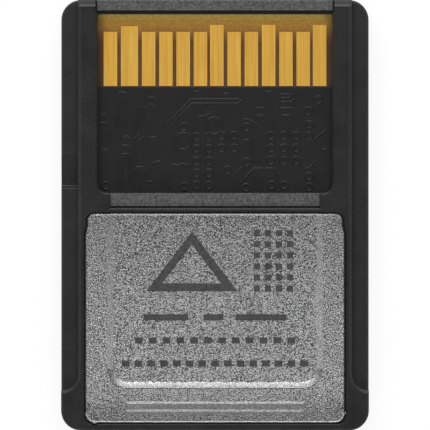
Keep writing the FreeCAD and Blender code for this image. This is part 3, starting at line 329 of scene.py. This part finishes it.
def blasted_steel():
    """Stainless sheet, blasted with beads: a coarse even grain, ironed flatter where it is drawn.

    It is ironed on the field's slopes and the ribs. On the side slopes it is also painted paler,
    a painted highlight, and on the rear slope it is painted darker towards the margin, painted
    shade that narrows the slope's highlight. It is darker at the rear edge and towards the
    contacts. The bevel at both ends is painted bright, a painted highlight. Real pits are about
    0.05 mm across, and are drawn coarser so that they show.
    """
    material, tree, place, axes = new_material("bead_blasted_stainless_steel")
    pits = grain(tree, place, 0.076 * MM, detail=1.0, roughness=0.6)
    dust = grain(tree, place, 0.5 * MM, detail=2.0)
    colour = shades(tree, pits, 0.375, 0.625, (0.0, "#434343"), (1.0, "#c7c7c7"))

    # The field's outline is open at its front, so it is taken to reach past the plate there.
    field = outline_distance(tree, axes, FIELD_SIDE, FIELD_REAR, 10 * MM, FIELD_RADIUS)
    beside = inside(tree, (axes["Y"], FIELD_REAR + FIELD_RADIUS, PLATE_FRONT))
    share = add(tree, "ShaderNodeMix", {0: beside, 2: 0.5, 3: 0.3})
    band = inside(tree, (field, -FIELD_SLOPE, 0.0))
    slope = add(tree, "ShaderNodeMath", {0: band, 1: share}, operation="MULTIPLY")
    # Painted shade on the rear slope, darker towards the margin, narrowing the slope's highlight.
    painted_slope_shade = shades(tree, field, -FIELD_SLOPE, 0.0, (0.0, "#a0a0a0"), (1.0, "#303030"))
    # On the side slopes a pale grey is painted, a painted highlight, which also evens the grain.
    inputs = {0: beside, 6: painted_slope_shade, 7: linear("#f0f0f0")}
    slope_painted_light_and_shade = add(tree, "ShaderNodeMix", inputs, data_type="RGBA")
    colour = add(tree, "ShaderNodeMix", {0: slope, 6: colour, 7: slope_painted_light_and_shade}, data_type="RGBA")

    raised = inside(tree, (axes["Z"], MARGIN_LEVEL + 0.1 * RIB_HEIGHT, MARGIN_LEVEL + MM))
    rib = add(tree, "ShaderNodeMath", {0: raised, 1: 0.6}, operation="MULTIPLY")
    inputs = {0: rib, 6: colour, 7: linear("#a0a0a0")}
    colour = add(tree, "ShaderNodeMix", inputs, data_type="RGBA")

    # Darker at the rear edge and towards the contacts.
    darker_towards_ends = shades(
        tree,
        axes["Y"],
        PLATE_REAR,
        PLATE_FRONT,
        (0.0, "#cccccc"),
        (0.07, "#d3d3d3"),
        (0.11, "#eeeeee"),
        (0.16, "#f9f9f9"),
        (0.60, "#ececec"),
        (0.80, "#dedede"),
        (1.0, "#cfcfcf"),
    )
    inputs = {0: 1.0, 6: colour, 7: darker_towards_ends}
    colour = add(tree, "ShaderNodeMix", inputs, data_type="RGBA", blend_type="MULTIPLY")

    # Painted highlight: the bevel at both ends of the plate is painted nearly white, more at the
    # rear.
    rim = outline_distance(tree, axes, PLATE_SIDE, PLATE_REAR, PLATE_FRONT, PLATE_RADIUS)
    straight = inside(tree, (axes["Y"], PLATE_REAR + PLATE_RADIUS, PLATE_FRONT - PLATE_RADIUS))
    ends = add(tree, "ShaderNodeMath", {0: 1.0, 1: straight}, operation="SUBTRACT")
    forward = add(tree, "ShaderNodeMapRange", {0: axes["Y"], 1: PLATE_REAR, 2: PLATE_FRONT})
    painted_highlight_strength = add(tree, "ShaderNodeMix", {0: forward, 2: 0.9, 3: 0.4})
    painted_rim_highlight = inside(tree, (rim, -1.25 * PLATE_BEVEL, 0.5 * CLOSE))
    for factor in (ends, painted_highlight_strength):
        painted_rim_highlight = add(tree, "ShaderNodeMath", {0: painted_rim_highlight, 1: factor}, operation="MULTIPLY")
    inputs = {0: painted_rim_highlight, 6: colour, 7: linear("#fafafa")}
    colour = add(tree, "ShaderNodeMix", inputs, data_type="RGBA")

    ironed = add(tree, "ShaderNodeMath", {0: slope, 1: rib}, operation="MAXIMUM")
    depth = add(tree, "ShaderNodeMix", {0: ironed, 2: 0.040 * MM, 3: 0.006 * MM})
    roughness = add(tree, "ShaderNodeMix", {0: dust, 2: 0.43, 3: 0.47})
    return finish_material(material, colour, roughness, pits, depth, metallic=1.0)


def laser_mark():
    """Laser-darkened steel: the blasted grain stays, under a dull dark oxide."""
    material, tree, place, _ = new_material("laser_darkened_steel")
    pits = grain(tree, place, 0.15 * MM, detail=3.0, roughness=0.65)
    colour = shades(tree, pits, 0.3, 0.7, (0.0, "#2c2c2c"), (1.0, "#4b4b4b"))
    return finish_material(material, colour, 0.7, pits, 0.006 * MM, Specular_IOR_Level=0.2)


def plain_finish(name, dark, light, size, depth, roughness, metallic=0.0):
    """A mottled finish for the inner parts: two shades, a grain size and its relief."""
    material, tree, place, _ = new_material(name)
    mottle = grain(tree, place, size, detail=3.0)
    colour = shades(tree, mottle, 0.3, 0.7, (0.0, dark), (1.0, light))
    return finish_material(material, colour, roughness, mottle, depth, metallic)


def dress(material, *nodes):
    """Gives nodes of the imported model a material."""
    for name in nodes:
        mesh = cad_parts[name].data
        mesh.materials.clear()
        mesh.materials.append(material)


def mitred_normals(path, closed):
    """At each point of a flat path, the sideways direction, longer where the path bends.

    It is the sum of the two neighbouring runs' unit normals, divided by one plus their dot
    product, so that the swept edges stay parallel to both runs.
    """
    runs = np.diff(np.vstack([path, path[:1]]) if closed else path, axis=0)
    runs /= np.linalg.norm(runs, axis=1, keepdims=True)
    normals = np.column_stack([-runs[:, 1], runs[:, 0]])
    if closed:
        before, after = np.roll(normals, 1, axis=0), normals
    else:
        before = np.vstack([normals[:1], normals])
        after = np.vstack([normals, normals[-1:]])
    return (before + after) / (1 + (before * after).sum(axis=1, keepdims=True))


# Steps in which a round end closes, and sides of the small and the large rings.
END_STEPS = 4
RING_SIDES = 24
LARGE_RING_SIDES = 48


def swept(path, half_width, half_height, section, level, closed=False, round_ends=False):
    """A flat path swept with a section: vertices and faces.

    With P the path, N its mitred normals and (a, b) the section's points, a vertex is
    P + N * a * half_width in plan, at level + b * half_height. A flat end shrinks to one point on
    the spot. A round end shrinks by the cosine of an angle from 0 to 90 degrees, while it runs
    on by half_width times the sine.
    """
    path = np.asarray(path, float)
    normals = mitred_normals(path, closed)
    size = np.ones(len(path))
    if not closed:
        steps = END_STEPS if round_ends else 1
        angle = np.linspace(0, math.pi / 2, steps + 1)[1:]
        reach = half_width * np.sin(angle) if round_ends else np.zeros(1)
        taper = np.cos(angle)
        first, last = path[0] - path[1], path[-1] - path[-2]
        first, last = first / np.linalg.norm(first), last / np.linalg.norm(last)
        path = np.vstack(
            [path[0] + np.outer(reach, first)[::-1], path, path[-1] + np.outer(reach, last)]
        )
        normals = np.vstack(
            [np.repeat(normals[:1], steps, 0), normals, np.repeat(normals[-1:], steps, 0)]
        )
        size = np.concatenate([taper[::-1], size, taper])
    rows, columns = len(path), len(section)
    across = np.outer(size, section[:, 0] * half_width)
    points = np.empty((rows, columns, 3))
    points[:, :, :2] = path[:, None, :] + normals[:, None, :] * across[:, :, None]
    points[:, :, 2] = level + np.outer(size, section[:, 1] * half_height)
    row = np.arange(rows if closed else rows - 1)[:, None]
    column = np.arange(columns)[None, :]
    row_next = (row + 1) % rows
    column_next = (column + 1) % columns
    corners = [(row, column), (row_next, column), (row_next, column_next), (row, column_next)]
    faces = np.stack([down * columns + along for down, along in corners], axis=-1)
    return points.reshape(-1, 3), faces.reshape(-1, 4)


def circle(centre, radius, steps):
    """Points evenly round a circle: centre plus radius times cosine and sine."""
    angle = np.linspace(0, 2 * math.pi, steps, endpoint=False)
    return np.asarray(centre) + radius * np.column_stack([np.cos(angle), np.sin(angle)])


# The sections that are swept, each 2 across and 2 high: a circle and a square.
ROUND_SECTION = circle((0.0, 0.0), 1.0, 10)
SLAB_SECTION = np.array([(1.0, -1.0), (1.0, 1.0), (-1.0, 1.0), (-1.0, -1.0)])


def new_piece(name, parts, material, smooth):
    """One mesh of several swept parts, with doubles merged and its faces turned outwards."""
    offsets = np.cumsum([0] + [len(points) for points, _ in parts[:-1]])
    points = np.vstack([points for points, _ in parts])
    faces = np.vstack([faces + offset for (_, faces), offset in zip(parts, offsets)])
    mesh = bpy.data.meshes.new(name)
    mesh.from_pydata(points.tolist(), [], faces.tolist())
    piece = bpy.data.objects.new(name, mesh)
    bpy.context.scene.collection.objects.link(piece)
    mesh.materials.append(material)
    shape = bmesh.new()
    shape.from_mesh(mesh)
    bmesh.ops.remove_doubles(shape, verts=shape.verts, dist=0.0001 * MM)
    bmesh.ops.recalc_face_normals(shape, faces=shape.faces)
    shape.to_mesh(mesh)
    shape.free()
    mesh.polygons.foreach_set("use_smooth", [smooth] * len(mesh.polygons))
    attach(piece, "root")


# Raised tracks under the solder mask, each a run of points in millimetres.
TRACKS = (
    ((-3.22, 5.83), (-1.55, 7.53), (1.55, 7.53)),
    ((-2.87, 5.83), (-1.50, 7.25), (1.50, 7.25), (1.72, 7.46)),
    ((-4.92, 7.02), (-4.90, 6.65), (-5.15, 6.27), (-5.15, 5.48), (-5.45, 5.08)),
    ((-4.58, 6.98), (-4.58, 6.66), (-4.78, 6.40)),
    ((-6.01, 4.99), (-5.76, 5.13), (-5.50, 4.93)),
    ((-5.30, 4.88), (-4.95, 5.23)),
    ((-5.10, 4.73), (-4.69, 5.03)),
    ((-6.05, 4.51), (-5.60, 4.51)),
    ((-6.05, 3.96), (-5.65, 3.96), (-5.60, 3.80), (-5.60, 2.10)),
    ((-5.10, 4.38), (-5.10, 3.78), (-5.45, 3.43), (-5.35, 3.20), (-5.35, 1.90)),
    ((-5.12, 3.11), (-4.70, 3.11)),
    ((-4.90, 2.24), (-4.19, 3.04), (-4.09, 3.34), (-3.73, 3.49), (-3.53, 3.39)),
    ((1.79, 6.12), (1.92, 6.23), (2.12, 6.23), (2.53, 6.03), (2.84, 5.77), (3.27, 5.41)),
    ((1.26, 2.55), (1.79, 3.12)),
    ((1.63, 2.08), (2.53, 3.02), (3.06, 3.02)),
    ((3.30, 3.02), (3.82, 3.02), (3.98, 2.86), (3.98, 2.60)),
    ((6.44, 4.89), (7.23, 5.51)),
    ((5.91, 3.02), (6.23, 3.12), (6.49, 3.48)),
    ((4.30, 7.84), (4.86, 7.84), (5.00, 7.74), (4.86, 7.61), (4.34, 7.61)),
    ((4.34, 7.36), (4.96, 7.36), (5.16, 7.54)),
    ((4.30, 6.96), (5.00, 6.96)),
    ((4.36, 6.48), (4.86, 6.48)),
    ((2.64, 6.96), (3.16, 6.96)),
    ((2.73, 6.47), (3.10, 6.47)),
    ((-2.76, 3.30), (-2.44, 3.22), (-2.20, 3.34), (-1.74, 3.24)),
    ((-2.14, 4.20), (-2.06, 3.90), (-1.82, 3.72)),
    ((-0.60, 6.44), (-0.40, 6.56)),
    ((-6.30, 7.90), (-6.05, 8.00), (-5.80, 7.90)),
)

# The board's vias in millimetres: the small ones in rows and columns, those on their own, and
# the large ones.
ARRAY_VIAS = [(across, along) for across in (3.64, 4.48, 5.30) for along in (5.16, 4.34, 3.54)]
ARRAY_VIAS += [(across, along) for across in (0.42, 1.24) for along in (5.16, 4.34)]
ARRAY_VIAS += [
    (across, along) for across in (-1.20, -0.39) for along in (5.08, 4.29, 3.50, 2.71, 1.92)
]
SINGLE_VIAS = (
    (6.12, 5.14),
    (6.12, 5.87),
    (6.06, 6.76),
    (6.76, 7.48),
    (2.06, 5.71),
    (0.81, 2.91),
    (2.06, 3.43),
    (2.02, 1.77),
    (3.69, 1.92),
    (4.51, 1.92),
    (6.12, 1.80),
    (6.12, 2.50),
    (-2.00, 1.84),
    (-2.06, 5.72),
    (-7.10, 1.90),
)
LARGE_VIAS = ((-2.06, 4.80), (-0.06, 5.80))

# Bundles of straight tracks along the card, in millimetres: the first one's place across, the
# pitch, how many, and where they start and end.
BUNDLES = (
    (-6.34, 0.19, 3, 1.65, 3.75),
    (-5.16, 0.19, 3, 1.65, 2.95),
    (-6.40, 0.19, 4, 5.60, 7.40),
    (-3.46, 0.19, 4, 1.65, 2.70),
    (2.55, 0.19, 4, 1.65, 2.55),
    (2.45, 0.19, 4, 3.40, 5.00),
)

# Short bumps where a track dips to an inner layer: the middle of each in millimetres.
STUBS = (
    (-7.30, 6.53),
    (-7.30, 5.97),
    (-7.20, 4.26),
    (-4.14, 7.65),
    (-4.14, 7.17),
    (-4.05, 5.06),
    (-4.28, 2.15),
    (-0.94, 6.42),
    (-2.02, 1.60),
    (-1.18, 8.02),
    (0.74, 7.90),
    (2.05, 4.88),
    (3.50, 8.02),
    (7.15, 4.26),
)

TRACK_HALF_WIDTH = 0.075 * MM
TRACK_RISE = 0.020 * MM
BUNDLED_HALF_WIDTH = 0.05 * MM
BUNDLED_RISE = 0.009 * MM
STUB_LENGTH = 0.28 * MM
VIA_RADIUS = 0.24 * MM
LARGE_VIA_RADIUS = 0.54 * MM


def make_tracks(material):
    """The board's raised tracks: flattened round strips, sunk to half their height."""
    half_stub = np.array([STUB_LENGTH / 2, 0.0])
    single = [np.array(track) * MM for track in TRACKS]
    single += [
        np.array([middle - half_stub, middle + half_stub]) for middle in np.array(STUBS) * MM
    ]
    bundled = [
        np.array([(first + pitch * place, start), (first + pitch * place, end)]) * MM
        for first, pitch, count, start, end in BUNDLES
        for place in range(count)
    ]
    parts = [
        swept(run, half_width, rise, ROUND_SECTION, BOARD_HIGH[2], round_ends=True)
        for runs, half_width, rise in (
            (single, TRACK_HALF_WIDTH, TRACK_RISE),
            (bundled, BUNDLED_HALF_WIDTH, BUNDLED_RISE),
        )
        for run in runs
    ]
    new_piece("board_tracks", parts, material, smooth=True)


def make_vias(material):
    """The rims of the board's vias: flattened round rings, sunk to half their height."""
    parts = [
        swept(
            circle(np.array(centre) * MM, radius, sides),
            TRACK_HALF_WIDTH,
            TRACK_RISE,
            ROUND_SECTION,
            BOARD_HIGH[2],
            closed=True,
        )
        for centres, radius, sides in (
            (ARRAY_VIAS, VIA_RADIUS, RING_SIDES),
            (SINGLE_VIAS, VIA_RADIUS, RING_SIDES),
            (LARGE_VIAS, LARGE_VIA_RADIUS, LARGE_RING_SIDES),
        )
        for centre in centres
    ]
    new_piece("board_vias", parts, material, smooth=True)


# The plate's marks in millimetres: the arrow's corners, the block of squares by its middle and
# pitch, the long bars by middle and length, and the rows of short bars by their place along the
# card, their count and the distance from the first to the last.
ARROW = ((-1.50, -1.50), (0.95, -4.70), (-3.95, -4.70))
BLOCK_MIDDLE = (3.80, -2.98)
BLOCK_PITCH = 0.72
BLOCK_COLUMNS = 4
BLOCK_ROWS = 6
LONG_BARS = ((-3.20, 2.90), (-0.10, 1.30), (3.00, 3.30))
LONG_BARS_ALONG = -6.65
SHORT_BAR_ROWS = ((-8.15, 12, 9.9), (-9.65, 15, 11.6))
SHORT_BAR_LENGTH = 0.50
BAR_HEIGHT = 0.40

ARROW_HALF_WIDTH = 0.26 * MM
MARK_THICKNESS = 0.004 * MM


def make_marks(material):
    """Plain laser marks: an insertion arrow, a block of squares, and rows of bars."""
    columns = np.arange(BLOCK_COLUMNS) - (BLOCK_COLUMNS - 1) / 2
    rows = np.arange(BLOCK_ROWS) - (BLOCK_ROWS - 1) / 2
    bars = [
        (BLOCK_MIDDLE[0] + BLOCK_PITCH * column, BLOCK_MIDDLE[1] + BLOCK_PITCH * row, BAR_HEIGHT)
        for column in columns
        for row in rows
    ]
    bars += [(middle, LONG_BARS_ALONG, length) for middle, length in LONG_BARS]
    bars += [
        (across, along, SHORT_BAR_LENGTH)
        for along, count, reach in SHORT_BAR_ROWS
        for across in np.linspace(-reach / 2, reach / 2, count)
    ]
    arrow = np.array(ARROW) * MM
    slab = (MARK_THICKNESS, SLAB_SECTION, FIELD_LEVEL)
    parts = [swept(arrow, ARROW_HALF_WIDTH, *slab, closed=True)]
    for across, along, length in bars:
        ends = np.array([(across - length / 2, along), (across + length / 2, along)]) * MM
        parts.append(swept(ends, BAR_HEIGHT / 2 * MM, *slab))
    new_piece("laser_marks", parts, material, smooth=False)


def dress_nodes():
    """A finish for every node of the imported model."""
    frame_resin = moulded_resin("moulded_black_resin_with_lands", lands=True)
    shell_resin = moulded_resin("moulded_black_resin", lands=False)
    board = solder_mask_and_laminate()
    steel = blasted_steel()
    pads = [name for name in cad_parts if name.startswith("contact_pad_")]
    dress(frame_resin, "contact_frame")
    dress(shell_resin, "label_shell")
    dress(board, "circuit_board")
    dress(hard_gold(), *pads)
    dress(steel, "metal_plate")

    # Epoxy moulding compound is dull black with a fine grit.
    package = plain_finish(
        "epoxy_moulding_compound", "#141414", "#1e1e1e", 0.06 * MM, 0.004 * MM, 0.65
    )
    dress(package, "flash_package", "controller_chip", "power_chip")

    # Sintered ferrite is dark grey and matt.
    ferrite = plain_finish("sintered_ferrite", "#2c2c2e", "#39393b", 0.05 * MM, 0.003 * MM, 0.8)
    dress(ferrite, "power_inductor")

    # The crystal's lid is nickel-plated and softly bright.
    lid = plain_finish(
        "nickel_plate", "#a5a49d", "#bdbcb5", 0.2 * MM, 0.001 * MM, 0.3, metallic=1.0
    )
    dress(lid, "clock_crystal")

    # Fired ceramic is tan and waxy, resistive film black and glassy.
    ceramic = plain_finish("fired_ceramic", "#8d7a5e", "#a08c6d", 0.1 * MM, 0.002 * MM, 0.5)
    dress(ceramic, "signal_capacitors", "bypass_capacitors")
    film = plain_finish("resistive_film", "#1b1b1d", "#232325", 0.1 * MM, 0.001 * MM, 0.3)
    dress(film, "pull_resistors")

    # Gap-filling silicone is blue-grey and soft, the transfer film yellowish and clear.
    filler = plain_finish("gap_filler_silicone", "#8490a2", "#959fae", 0.3 * MM, 0.01 * MM, 0.7)
    dress(filler, "heat_pad")
    adhesive = plain_finish("acrylic_film", "#cfc7ab", "#d9d2b8", 0.5 * MM, 0.002 * MM, 0.35)
    dress(adhesive, "plate_adhesive")

    make_tracks(board)
    make_vias(board)
    make_marks(laser_mark())


# The floor's side and how far it lies under the card, and how much of what the camera sees of it
# is plain white instead of lit paper.
FLOOR_SIDE = 6.0
FLOOR_CLEARANCE = 0.005 * MM
FLOOR_GLOW = 0.85

# The world's light on the card, and the lamps: name, azimuth and elevation in degrees, distance,
# width and height in metres, and watts. The key stands beyond the contact end. Its height, and
# that of the rear one, suits the bevels of the plate.
WORLD_LIGHT = 0.25
LAMPS = (
    ("key", 96, 46, 0.50, 0.50, 0.26, 2.2),
    ("top", 90, 89.9, 0.70, 0.80, 0.80, 0.5),
    ("front_rim", 90, 12, 0.50, 0.50, 0.14, 1.5),
    ("rear_rim", -90, 32, 0.50, 0.50, 0.14, 1.1),
    ("left_rim", 180, 12, 0.50, 0.50, 0.14, 0.4),
    ("right_rim", 0, 12, 0.50, 0.50, 0.14, 0.4),
)

# The camera: its height, its sensor's width in millimetres, the picture's side in pixels and the
# card's length in them.
CAMERA_HEIGHT = 0.35
SENSOR_WIDTH = 36.0
PICTURE_PIXELS = 430
CARD_PIXELS = 431.1


def make_floor():
    """A plain white floor, which the camera sees nearly white and which keeps a faint shadow."""
    mesh = bpy.data.meshes.new("floor")
    half = FLOOR_SIDE / 2
    corners = [(-half, -half, 0), (half, -half, 0), (half, half, 0), (-half, half, 0)]
    mesh.from_pydata(corners, [], [(0, 1, 2, 3)])
    floor = bpy.data.objects.new("floor", mesh)
    bpy.context.scene.collection.objects.link(floor)
    floor.location.z = cad_low[2] - FLOOR_CLEARANCE
    material = bpy.data.materials.new("matt_white_paper")
    material.use_nodes = True
    tree = material.node_tree
    tree.nodes.clear()
    path = add(tree, "ShaderNodeLightPath").outputs
    seen = path["Is Camera Ray"]
    for kind in ("Is Glossy Ray", "Is Transmission Ray"):
        seen = add(tree, "ShaderNodeMath", {0: seen, 1: path[kind]}, operation="MAXIMUM")
    share = add(tree, "ShaderNodeMath", {0: seen, 1: FLOOR_GLOW}, operation="MULTIPLY")
    paper = add(tree, "ShaderNodeBsdfDiffuse", {"Color": linear("#f2f2f2")})
    glow = add(tree, "ShaderNodeEmission", {"Color": linear("#ffffff"), "Strength": 1.0})
    mixed = add(tree, "ShaderNodeMixShader", {0: share, 1: paper, 2: glow})
    add(tree, "ShaderNodeOutputMaterial", {"Surface": mixed})
    mesh.materials.append(material)


def light_scene():
    """A pale world and soft boxes: a key, a broad one above, and low ones that edge the card."""
    world = bpy.data.worlds.new("studio")
    bpy.context.scene.world = world
    world.use_nodes = True
    tree = world.node_tree
    tree.nodes.clear()
    seen = add(tree, "ShaderNodeLightPath").outputs["Is Camera Ray"]
    strength = add(tree, "ShaderNodeMix", {0: seen, 2: WORLD_LIGHT, 3: 1.0})
    inputs = {"Color": linear("#ffffff"), "Strength": strength}
    background = add(tree, "ShaderNodeBackground", inputs)
    add(tree, "ShaderNodeOutputWorld", {"Surface": background})

    for name, azimuth, elevation, distance, width, height, watts in LAMPS:
        lamp = bpy.data.lights.new(name, "AREA")
        lamp.shape = "RECTANGLE"
        lamp.size = width
        lamp.size_y = height
        lamp.energy = watts
        holder = bpy.data.objects.new(name, lamp)
        turn, lift = math.radians(azimuth), math.radians(elevation)
        holder.location = (
            distance * math.cos(lift) * math.cos(turn),
            distance * math.cos(lift) * math.sin(turn),
            distance * math.sin(lift),
        )
        holder.rotation_euler = (math.pi / 2 - lift, 0, turn + math.pi / 2)
        bpy.context.scene.collection.objects.link(holder)


def place_camera():
    """A long lens straight above the card, whose length just overfills the square picture."""
    seen = CARD_LENGTH * PICTURE_PIXELS / CARD_PIXELS
    camera = bpy.data.cameras.new("camera")
    camera.sensor_width = SENSOR_WIDTH
    camera.lens = SENSOR_WIDTH * (CAMERA_HEIGHT - FRAME_HIGH[2]) / seen
    camera.clip_start = 0.01
    camera.clip_end = 10.0
    holder = bpy.data.objects.new("camera", camera)
    holder.location = (0.0, 0.0, CAMERA_HEIGHT)
    bpy.context.scene.collection.objects.link(holder)
    bpy.context.scene.camera = holder


dress_nodes()
make_floor()
light_scene()
place_camera()
bpy.context.scene.view_settings.view_transform = "Standard"
